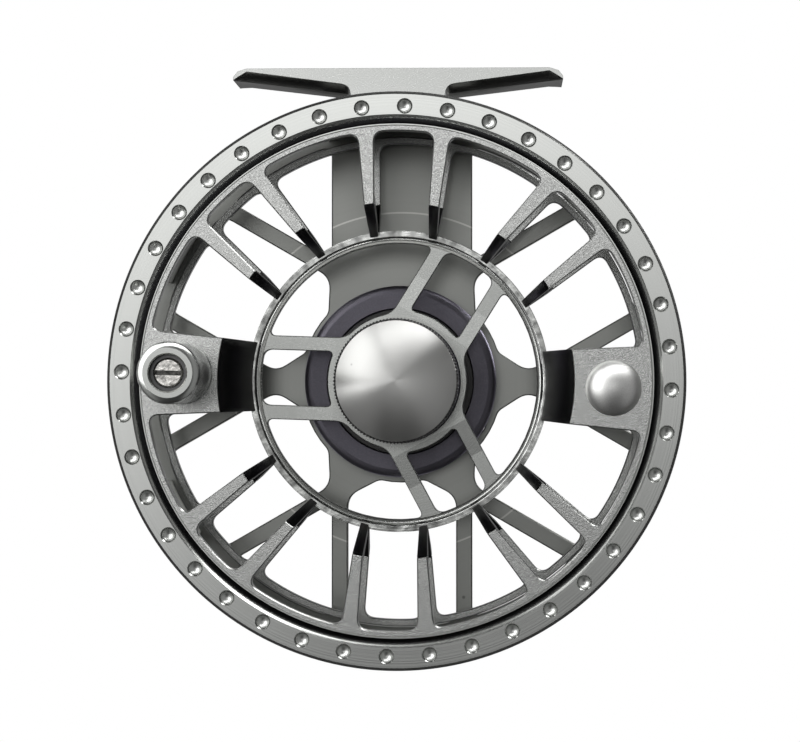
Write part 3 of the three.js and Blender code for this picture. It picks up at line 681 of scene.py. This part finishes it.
# --------------------------------------------------------------------------- hub spider
# Three pairs of parallel arms tie the hub collar to the arbor. They lie flat
# out by the hub ring and rise towards the collar; the ring's front edge is a
# raised bright bevel.
HUB_RING, HUB_RING_IN, HUB_FACE, HUB_BACK = 25.5, 24.55, 14.8, 17.2
COLLAR, COLLAR_IN = 12.1, 10.9
ARM_OUTSIDE, ARM_INSIDE = (7.46, 0.0), (4.92, 0.0)
ARM_FOLD, ARM_ROOT, ARM_RISE = 17.8, 11.5, 0.2


def closed_window(low, high, inner, outer, fillet, inner_fillet):
    """A whole window outline: the open side, then back along the inner circle."""
    side = window_side(low, high, inner, outer, fillet)
    start = bearing_of(side[-1]) - inner_fillet / inner
    end = bearing_of(side[0]) + inner_fillet / inner
    if start < end:
        start += math.tau
    bottom = arc(inner, start, end, 8)
    before = part_way(side[-1], side[-2], inner_fillet)
    after = part_way(side[0], side[1], inner_fillet)
    return ([after] + side[1:-1] + [before] + round_corner(before, side[-1], bottom[0])
            + bottom + round_corner(bottom[-1], side[0], after))


arm_axes = (60, 180, 300)
hub_windows = [closed_window((ARM_INSIDE, -1, axis), (ARM_INSIDE, 1, axis), COLLAR + 0.6,
                             HUB_RING_IN, 1.5, 1.2) for axis in arm_axes]
hub_windows += [closed_window((ARM_OUTSIDE, 1, axis), (ARM_OUTSIDE, -1, axis + 120), COLLAR,
                              HUB_RING_IN, 1.4, 1.8) for axis in arm_axes]
spider_arms = flat_piece("spider_arms", [circle(HUB_RING - 0.05, 240), circle(COLLAR_IN, 120)]
                         + hub_windows, HUB_FACE, HUB_BACK, 0.14)
mesh = bmesh.new()
mesh.from_mesh(spider_arms.data)
outward = [(in_row(1, axis, 0) - in_row(0, 0, 0)).normalized() for axis in arm_axes]
for axis, along in zip(arm_axes, outward):
    for fold in (ARM_FOLD, ARM_ROOT):
        bmesh.ops.bisect_plane(mesh, geom=mesh.verts[:] + mesh.edges[:] + mesh.faces[:],
                               dist=0.001 * MM, plane_co=in_row(fold, axis, 0), plane_no=along)
for vert in mesh.verts:
    from_spindle = Vector((vert.co.x, 0, vert.co.z - AXLE_Z)) / MM
    if from_spindle.length < HUB_RING_IN - 2:
        along = max(from_spindle.dot(axis) for axis in outward)
        share = (ARM_FOLD - along) / (ARM_FOLD - ARM_ROOT)
        vert.co.y -= ARM_RISE * MM * min(1.0, max(0.0, share))
bmesh.ops.triangulate(mesh, faces=mesh.faces)
mesh.to_mesh(spider_arms.data)
mesh.free()
hub_edge = turned_piece("hub_edge", [
    (HUB_RING_IN, HUB_FACE - 0.02), (HUB_RING - 0.3, HUB_FACE - 0.42),
    (HUB_RING, HUB_FACE - 0.25), (HUB_RING, HUB_BACK + 0.3),
    (HUB_RING_IN, HUB_BACK + 0.3)], 240, 0.1)
smooth(spider_arms, 3, 0.99)
smooth(hub_edge)
hub_satin = metal("hub_satin", (0.36, 0.368, 0.355), 0.27, turned=0.10, blasted=0.2, smudged=0.16)
for piece in (spider_arms, hub_edge):
    turned_by(piece, REST_TURN)
fitted(spider_arms, "spool", "spool_aluminium", hub_satin, "spool_hub_spider")
edge_satin = metal("edge_satin", SATIN_GREY, 0.24, smudged=0.06)
fitted(hub_edge, "spool", "spool_aluminium", edge_satin)

# -------------------------------------------------------------------------- release cap
# A spun steel dome on a knurled collar. It screws onto the spindle and holds
# the spool; a bronze insert and a rubber washer are inside.
CAP_RADIUS, CAP_KNURL, CAP_BASE, CAP_APEX, CAP_BACK = 10.6, 10.98, 1.7, -1.8, 12.9
KNURLS = 110
CAP_BORE, CAP_CROWN, VALLEY = 9.2, 4.6, 0.978

dome_sphere = ((CAP_RADIUS - 0.15) ** 2 + (CAP_BASE - CAP_APEX) ** 2) / (
    2 * (CAP_BASE - CAP_APEX))
dome = []
for i in range(15):
    reach = (CAP_RADIUS - 0.15) * i / 14
    dome.append((reach, CAP_APEX + dome_sphere - math.sqrt(dome_sphere ** 2 - reach ** 2)))
cap_shell = turned_piece("cap_shell", dome + [
    (CAP_RADIUS - 0.1, CAP_BASE + 0.25), (CAP_RADIUS, CAP_BASE + 2), (CAP_RADIUS, CAP_BACK),
    (CAP_BORE, CAP_BACK), (CAP_BORE, CAP_CROWN), (0, CAP_CROWN)], 144, 0.0, closed=False)
smooth(cap_shell, 20)
for face in cap_shell.data.polygons:
    face.use_smooth = True
knurl = bmesh.new()
outline_spun(knurl, [(CAP_RADIUS - 0.2, CAP_BASE + 0.1), (CAP_KNURL - 0.05, CAP_BASE + 0.6),
                     (CAP_KNURL, CAP_BASE + 0.8), (CAP_KNURL, CAP_BASE + 1.4),
                     (CAP_RADIUS - 0.2, CAP_BASE + 1.8)], 2 * KNURLS)
closed_and_out(knurl)
for vert in knurl.verts:
    x, z = vert.co.x, vert.co.z - AXLE_Z
    tooth = round(math.atan2(z, x) / (math.pi / KNURLS))
    if tooth % 2 and math.hypot(x, z) > (CAP_RADIUS - 0.1) * MM:
        vert.co.x, vert.co.z = x * VALLEY, AXLE_Z + z * VALLEY
cap_knurl = as_object("cap_knurl", knurl)
spun_steel = metal("spun_steel", (0.42, 0.42, 0.41), 0.38, turned=0.08, smudged=0.05,
                   anisotropy=0.85, rings_per_mm=6.0)
oily_steel = metal("oily_steel", (0.10, 0.10, 0.10), 0.40, blasted=0.3)
fitted(cap_shell, "cap", "cap_steel", spun_steel, "release_cap")
fitted(cap_knurl, "cap", "cap_steel", oily_steel)

# ------------------------------------------------------------------- handle and balance
# The handle is a waisted aluminium knob on a steel post, held by a slotted
# screw at the bottom of its counterbore. A steel button balances it.
HANDLE_AT, HANDLE_RADIUS, HANDLE_LENGTH = 36.9, 5.22, 21.3
BUTTON_AT, BUTTON_RADIUS, BUTTON_HEIGHT = 37.5, 4.8, 3.1
HANDLE_PLACE, BUTTON_PLACE = (HANDLE_AT, 180), (BUTTON_AT, 0)

handle_turn = math.radians(180) - REST_TURN
handle_centre = (HANDLE_AT * MM * math.cos(handle_turn),
                 AXLE_Z + HANDLE_AT * MM * math.sin(handle_turn))
knob_metal = metal("knob_satin", (0.42, 0.43, 0.415), 0.25, turned=0.10, smudged=0.10,
                   centre=handle_centre)
bright = metal("bright_steel", (0.72, 0.72, 0.71), 0.2, turned=0.12, smudged=0.2)
knob_profile = [(3.45, -1.5), (4.95, -1.5), (HANDLE_RADIUS, -1.9), (HANDLE_RADIUS, -4.5),
                (5.12, -6.5), (4.95, -9), (4.87, -11.5), (4.92, -14), (5.08, -16.5),
                (HANDLE_RADIUS, -18.3), (HANDLE_RADIUS, -20.2), (5.05, -20.85),
                (4.6, -21.22), (4.15, -HANDLE_LENGTH), (3.3, -HANDLE_LENGTH),
                (3.1, -21.05), (3.1, -19.4), (2.4, -19.4), (2.4, -6.5), (3.45, -6.5)]
handle_knob = turned_piece("handle_knob_turned", knob_profile, 72, 0.0, HANDLE_PLACE)
smooth(handle_knob, 35)
turned_by(handle_knob, REST_TURN)
fitted(handle_knob, "handle", "spool_aluminium", knob_metal, "handle_knob")

handle_collar = turned_piece("handle_collar_turned", [
    (2.4, 0), (2.4, -1.2), (4.6, -1.2), (5.27, -0.5), (5.27, 0)], 72, 0.12, HANDLE_PLACE)
smooth(handle_collar)
turned_by(handle_collar, REST_TURN)
fitted(handle_collar, "spool", "spool_aluminium", knob_metal, "handle_collar")

SCREW_HEAD, SCREW_SEAT, SCREW_TOP, SLOT = 2.5, -19.4, -20.3, 0.8
screw = bmesh.new()
outline_spun(screw, [(0, SCREW_TOP), (SCREW_HEAD - 0.35, SCREW_TOP), (SCREW_HEAD, SCREW_TOP + 0.4),
                     (SCREW_HEAD, SCREW_SEAT), (1.2, SCREW_SEAT), (1.2, -12), (0, -12)], 48,
             closed=False)
closed_and_out(screw)
head_middle = in_row(0, 0, 0)
for side in (1, -1):
    bmesh.ops.bisect_plane(screw, geom=screw.verts[:] + screw.edges[:] + screw.faces[:],
                           dist=0.0, plane_co=head_middle + Vector((0, 0, side * SLOT / 2 * MM)),
                           plane_no=(0, 0, 1))
slot_faces = [face for face in screw.faces if face.normal.y < -0.9
              and abs(face.calc_center_median().z - AXLE_Z) < SLOT / 2 * MM
              and face.calc_center_median().y < FACE_Y + (SCREW_TOP + 0.2) * MM]
sunk = bmesh.ops.extrude_face_region(screw, geom=slot_faces)
bmesh.ops.delete(screw, geom=slot_faces, context="FACES_ONLY")
bmesh.ops.translate(screw, verts=[v for v in sunk["geom"] if isinstance(v, bmesh.types.BMVert)],
                    vec=(0, 0.7 * MM, 0))
closed_and_out(screw)
bmesh.ops.translate(screw, verts=screw.verts, vec=in_row(*HANDLE_PLACE, 0) - head_middle)
handle_screw = as_object("handle_screw_slotted", screw)
smooth(handle_screw, 30)
turned_by(handle_screw, REST_TURN)
rough_steel = metal("rough_steel", (0.46, 0.45, 0.43), 0.30, blasted=2.2, smudged=0.5,
                    grains_per_mm=1.3)
# The screw's colour is painted darker with depth below the top of its head, falling to an eighth half
# a millimetre down: painted shade in the slot.
slot_shade_nodes = rough_steel.node_tree
depth_at = slot_shade_nodes.nodes.new("ShaderNodeTexCoord")
depth_only = slot_shade_nodes.nodes.new("ShaderNodeSeparateXYZ")
in_slot = slot_shade_nodes.nodes.new("ShaderNodeMapRange")
in_slot.inputs["From Min"].default_value = FACE_Y + (SCREW_TOP + 0.05) * MM
in_slot.inputs["From Max"].default_value = FACE_Y + (SCREW_TOP + 0.5) * MM
in_slot.inputs["To Min"].default_value = 1.0
in_slot.inputs["To Max"].default_value = 0.12
slot_shaded_colour = slot_shade_nodes.nodes.new("ShaderNodeVectorMath")
slot_shaded_colour.operation = "SCALE"
slot_shade_nodes.links.new(depth_at.outputs["Object"], depth_only.inputs[0])
slot_shade_nodes.links.new(depth_only.outputs["Y"], in_slot.inputs["Value"])
steel_shader = slot_shade_nodes.nodes["Principled BSDF"]
slot_shade_nodes.links.new(steel_shader.inputs["Base Color"].links[0].from_socket, slot_shaded_colour.inputs[0])
slot_shade_nodes.links.new(in_slot.outputs["Result"], slot_shaded_colour.inputs["Scale"])
slot_shade_nodes.links.new(slot_shaded_colour.outputs["Vector"], steel_shader.inputs["Base Color"])
fitted(handle_screw, "spool", "polished_steel", rough_steel, "handle_screw")

handle_washer = turned_piece("handle_washer", [
    (2.2, -19.75), (3.08, -19.75), (3.08, -19.42), (2.2, -19.42)], 48, 0.05, HANDLE_PLACE)
turned_by(handle_washer, REST_TURN)
fitted(handle_washer, "spool", "dark_anodised", oily_steel)

button_outline = [(0, -BUTTON_HEIGHT)]
for i in range(1, 13):
    turn = math.radians(90 - 7.5 * i)
    button_outline.append((BUTTON_RADIUS * math.cos(turn), -BUTTON_HEIGHT * math.sin(turn)))
button = turned_piece("balance_button", button_outline + [(1.5, 0), (1.5, WEB), (0, WEB)], 72,
                      0.0, BUTTON_PLACE, closed=False)
smooth(button, 35)
turned_by(button, REST_TURN)
button_turn = -REST_TURN
button_steel = metal("button_steel", (0.56, 0.56, 0.55), 0.44, turned=0.06, blasted=0.25,
                     smudged=0.14, centre=(BUTTON_AT * MM * math.cos(button_turn),
                                           AXLE_Z + BUTTON_AT * MM * math.sin(button_turn)))
fitted(button, "spool", "polished_steel", button_steel, "counterweight")

# ---------------------------------------------------------------------------- back plate
# The back of the frame is a plate with a centre disc, a broad stem up to the
# foot, five channels between parallel bars, and sharp wedges between them.
PLATE_FRONT, PLATE_BACK, CAGE_INNER, CAGE_OUTER = 30.5, 33.5, 45.0, 49.6
BAR_OUTSIDE, BAR_INSIDE, CENTRE_DISC = 12.9, 9.93, 18.5
CHANNELS = (30, 150, 210, 270, 330)
STEP_RADIUS, HIGHLIGHT_LINE_WIDTH = 31.0, 0.3
SPINDLE_HOLE, SCREW_HOLE, SCREW_PITCH = 3.1, 1.75, 15.6


def about_axis(points, axis):
    turn = math.radians(axis)
    return [(s * math.cos(turn) - t * math.sin(turn), s * math.sin(turn) + t * math.cos(turn))
            for s, t in points]


def rounded_outline(corners):
    """A closed outline from (x, y, fillet) corners."""
    loop = []
    for i, (x, y, fillet) in enumerate(corners):
        if not fillet:
            loop.append((x, y))
            continue
        previous, following = corners[i - 1], corners[(i + 1) % len(corners)]
        start = part_way((x, y), previous[:2], fillet)
        end = part_way((x, y), following[:2], fillet)
        loop += [start] + round_corner(start, (x, y), end, 6) + [end]
    return loop


def mirrored_outline(half):
    """Corners above an axis, followed by their mirror images below it."""
    return rounded_outline(half + [(s, -t, fillet) for s, t, fillet in reversed(half)])


def ring_corners(lateral, count=6):
    """Points on the inside of the cage from a lateral distance to the axis."""
    turn = math.asin(lateral / CAGE_INNER)
    return [(CAGE_INNER * math.cos(turn * i / count), CAGE_INNER * math.sin(turn * i / count), 0)
            for i in range(count - 1, 0, -1)]


wedge_apex = BAR_OUTSIDE / math.sin(math.radians(30))
wedge_edge = (-wedge_apex * math.tan(math.radians(30)), math.tan(math.radians(30)))
wedge_s, wedge_t = edge_meets(wedge_edge, 1, 0, CAGE_INNER)
wedge_half = [(wedge_apex + 0.15, 0.10, 0.0), (wedge_s, wedge_t, 1.8)] + ring_corners(
    wedge_t * 0.86)
channel_half = [
    (CENTRE_DISC, 0.01, 0), (CENTRE_DISC * math.cos(math.radians(6)),
                             CENTRE_DISC * math.sin(math.radians(6)), 0),
    (CENTRE_DISC * math.cos(math.radians(13)), CENTRE_DISC * math.sin(math.radians(13)), 0.8),
    (21.0, BAR_INSIDE, 2.2), (math.sqrt(CAGE_INNER ** 2 - BAR_INSIDE ** 2), BAR_INSIDE, 2.0),
] + ring_corners(BAR_INSIDE * 0.72)
plate_loops = [circle(CAGE_OUTER, 320), circle(SPINDLE_HOLE, 48)]
plate_loops += [about_axis(mirrored_outline(wedge_half), axis) for axis in range(0, 360, 60)]
plate_loops += [about_axis(mirrored_outline(channel_half), axis) for axis in CHANNELS]
for axis in (90, 210, 330):
    plate_loops.append(circle(SCREW_HOLE, 32, about_axis([(SCREW_PITCH, 0)], axis)[0]))
back_plate = flat_piece("back_plate", plate_loops, PLATE_FRONT, PLATE_BACK, 0.22)
frame_grey = metal("frame_satin", (0.25, 0.255, 0.242), 0.31, turned=0.06, smudged=0.24,
                   rings_per_mm=1.6)
plate_look = frame_grey.node_tree
# A thin lighter ring at STEP_RADIUS is painted into the plate's colour: a painted highlight for the
# bright edge of a turned step.
step_highlight_mask = math_node(plate_look, "LESS_THAN", math_node(plate_look, "ABSOLUTE", math_node(
    plate_look, "SUBTRACT", plate_look.nodes["Group"].outputs["Radius"], STEP_RADIUS * MM)),
    HIGHLIGHT_LINE_WIDTH / 2 * MM)
highlit_plate_colour = plate_look.nodes.new("ShaderNodeMixRGB")
highlit_plate_colour.inputs["Color2"].default_value = (0.42, 0.42, 0.40, 1)
frame_shader = plate_look.nodes["Principled BSDF"]
plate_look.links.new(step_highlight_mask, highlit_plate_colour.inputs["Fac"])
plate_look.links.new(frame_shader.inputs["Base Color"].links[0].from_socket,
                     highlit_plate_colour.inputs["Color1"])
plate_look.links.new(highlit_plate_colour.outputs["Color"], frame_shader.inputs["Base Color"])
fitted(back_plate, "frame", "frame_aluminium", frame_grey, "frame_back_plate")

# ------------------------------------------------------------------------ cage and pillars
# The front ring nests inside the palming rim's skirt. Five pillars and the
# bridge under the foot join it to the back plate.
RING_NESTED, RING_FACE, RING_STEP, WALL_FRONT, WALL_INNER = 47.8, 3, 5.9, 8.5, 46
front_ring = turned_piece("front_ring", [
    (CAGE_INNER, RING_FACE), (RING_NESTED, RING_FACE), (RING_NESTED, RING_STEP),
    (RIM_OUTER, RING_STEP), (RIM_OUTER, WALL_FRONT), (CAGE_INNER, WALL_FRONT)], 240, 0.25)
smooth(front_ring)
fitted(front_ring, "frame", "frame_aluminium", frame_grey, "frame_front_ring")


def cage_wall(name, middle, half, steps):
    mesh = bmesh.new()
    outline_spun(mesh, [(WALL_INNER, WALL_FRONT), (CAGE_OUTER, WALL_FRONT),
                        (CAGE_OUTER, PLATE_FRONT), (WALL_INNER, PLATE_FRONT)],
                 steps, angle=math.radians(2 * half),
                 start=math.radians(middle - half))
    closed_and_out(mesh)
    rounded_edges(mesh, 0.35, 3, 40)
    wall = as_object(name, mesh)
    smooth(wall)
    return wall


for number, axis in enumerate(CHANNELS, 1):
    fitted(cage_wall(f"pillar_{number}", axis, 7, 10), "frame", "frame_aluminium", frame_grey,
           f"frame_pillar_{number}")
fitted(cage_wall("top_bridge", 90, 17, 20), "frame", "frame_aluminium", frame_grey,
       "frame_top_bridge")

# ------------------------------------------------------------------------------ reel foot
# The foot is milled from bar: a flat saddle whose two tongues taper to thin
# tips, undercut along both sides, on a short stem that sits on the bridge.
foot_low, foot_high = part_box("reel_foot")
FOOT_Y = (foot_low.y + foot_high.y) / 2
FOOT_HALF = (foot_high.x - foot_low.x) / 2
FOOT_STEM = foot_high.z - foot_low.z
FOOT_HALF_WIDTH, DOWNWARD = 6.6, -0.25
# Sections from the tip to the stem: distance from the middle, top, foot of
# the upright land, underside, and how far the undercut reaches in.
sections = [
    (FOOT_HALF / MM, -1.5, -2.05, -2.1, 0.3), (FOOT_HALF / MM - 0.8, -0.5, -1.5, -2.15, 1.2),
    (FOOT_HALF / MM - 2.4, 0, -0.55, -2.2, 2.2),
    (10.0, 0, -2.75, -4.2, 2.2), (9.3, 0, -2.95, -4.3, 2.1), (8.8, 0, -3.3, -4.5, 1.8),
    (8.45, 0, -3.9, -4.8, 1.2), (8.27, 0, -4.7, -5.3, 0.6),
    (8.25, 0, -5.95, -FOOT_STEM / MM, 0.0)]
half = FOOT_HALF_WIDTH
mesh = bmesh.new()
rings = []
for at, top, land, under, reach in sections + [(-s[0], *s[1:]) for s in reversed(sections)]:
    outline = ((-half, top), (-half, land), (reach - half, under), (half - reach, under),
               (half, land), (half, top))
    rings.append([mesh.verts.new((at * MM, FOOT_Y + y * MM, z * MM)) for y, z in outline])
for near, far in zip(rings, rings[1:]):
    for i in range(6):
        mesh.faces.new((near[i], near[(i + 1) % 6], far[(i + 1) % 6], far[i]))
mesh.faces.new(rings[0])
mesh.faces.new(rings[-1])
closed_and_out(mesh)
bmesh.ops.dissolve_limit(mesh, angle_limit=math.radians(0.5), verts=mesh.verts, edges=mesh.edges)
rounded_edges(mesh, 0.2, 1, 20)
foot = as_object("reel_foot_milled", mesh)
smooth(foot, 30)
foot_satin = metal("foot_satin", (0.47, 0.478, 0.465), 0.28, blasted=0.15, smudged=0.12)
undercut_painted_shade = metal("undercut_painted_shade", (0.09, 0.09, 0.088), 0.32, smudged=0.10)
fitted(foot, "frame", "frame_aluminium", foot_satin, "reel_foot")
# Faces that look down take a near-black grey: painted shade on the undercut.
foot.data.materials.append(undercut_painted_shade)
for face in foot.data.polygons:
    face.material_index = int(face.normal.z < DOWNWARD)

# --------------------------------------------------------------------------------- drag
# The drag housing is a dark anodised cup on the back plate. Its stack of
# discs is hidden; the knob that loads it is behind the plate.
dark = metal("dark_anodised", (0.115, 0.110, 0.130), 0.46, turned=0.10, blasted=0.2,
             smudged=0.14)
dark.node_tree.nodes["Principled BSDF"].inputs["Specular Tint"].default_value = (0.9, 0.88, 1, 1)
CUP_LIP, CUP_CAVITY, CUP_OUTER = 13.07, 14.3, 17.3
housing = turned_piece("drag_cup", [
    (CUP_LIP, 22.4), (13.3, 22.1), (15.9, 22.1), (16.5, 22.2), (16.95, 22.45), (17.2, 22.8),
    (CUP_OUTER, 23.3), (CUP_OUTER, PLATE_FRONT), (CUP_CAVITY, PLATE_FRONT),
    (CUP_CAVITY, 23.1), (CUP_LIP, 23.1)], 144, 0.0)
smooth(housing)
fitted(housing, "frame", "dark_anodised", dark, "drag_housing")

KNOB_RADIUS, KNOB_FRONT, KNOB_BACK, SCALLOPS = 13.0, 34, 42, 12
knob_mesh = bmesh.new()
outline_spun(knob_mesh, [
    (6.4, KNOB_FRONT), (12.2, KNOB_FRONT), (12.6, 34.4), (12.6, 35.6), (KNOB_RADIUS, 36.1),
    (KNOB_RADIUS, 40.9), (12.75, 41.5), (12.1, 41.95), (11.5, KNOB_BACK), (6.6, KNOB_BACK),
    (5.6, 41.2), (4.4, 39.5), (2.5, 39.5), (2.5, 37.2),
    (6.4, 37.2)], 240)
closed_and_out(knob_mesh)
for vert in knob_mesh.verts:
    x, z = vert.co.x, vert.co.z - AXLE_Z
    reach = math.hypot(x, z)
    if reach > 11.8 * MM and vert.co.y > FACE_Y + 35.9 * MM:
        lobe = 0.5 + 0.5 * math.cos(SCALLOPS * math.atan2(z, x))
        trimmed = 1 - 0.085 * lobe ** 3
        vert.co.x, vert.co.z = x * trimmed, AXLE_Z + z * trimmed
drag_knob = as_object("drag_knob_scalloped", knob_mesh)
smooth(drag_knob)
fitted(drag_knob, "drag_knob", "dark_anodised", dark, "drag_knob")

# ----------------------------------------------------------------------- inner metalwork
# Spindle, nut, screws, bearings and the drag's discs stay as they are made in
# the frame and only take their finishes.
bronze = metal("turned_bronze", (0.50, 0.34, 0.16), 0.3, turned=0.2, smudged=0.2)
carbon = metal("carbon_weave", (0.03, 0.03, 0.032), 0.55, blasted=0.8, metallic=0.0,
               grains_per_mm=1.2)
rubber = metal("moulded_rubber", (0.02, 0.02, 0.02), 0.7, blasted=0.3, metallic=0.0)
slots = {part["node"]: part["material_slot"] for part in frame["record"]["subparts"]}
by_slot = {"spool_aluminium": hub_satin, "frame_aluminium": frame_grey, "bronze": bronze,
           "polished_steel": bright, "dark_anodised": dark, "carbon_friction": carbon,
           "rubber_seal": rubber, "cap_steel": spun_steel, "arbor_aluminium": mottled}
SEEN_STEEL = ("handle_post", "drag_knob_screw", "foot_screw", "housing_screw")
for node, shape in frame["nodes"].items():
    shape.data.materials.clear()
    hidden_steel = slots[node] == "polished_steel" and not node.startswith(SEEN_STEEL)
    finish = oily_steel if hidden_steel else by_slot[slots[node]]
    # The hub barrel takes the dark anodised finish as painted shade, so the gap between the collar
    # and the drag face reads black.
    shape.data.materials.append(dark if node == "spool_hub_barrel" else finish)
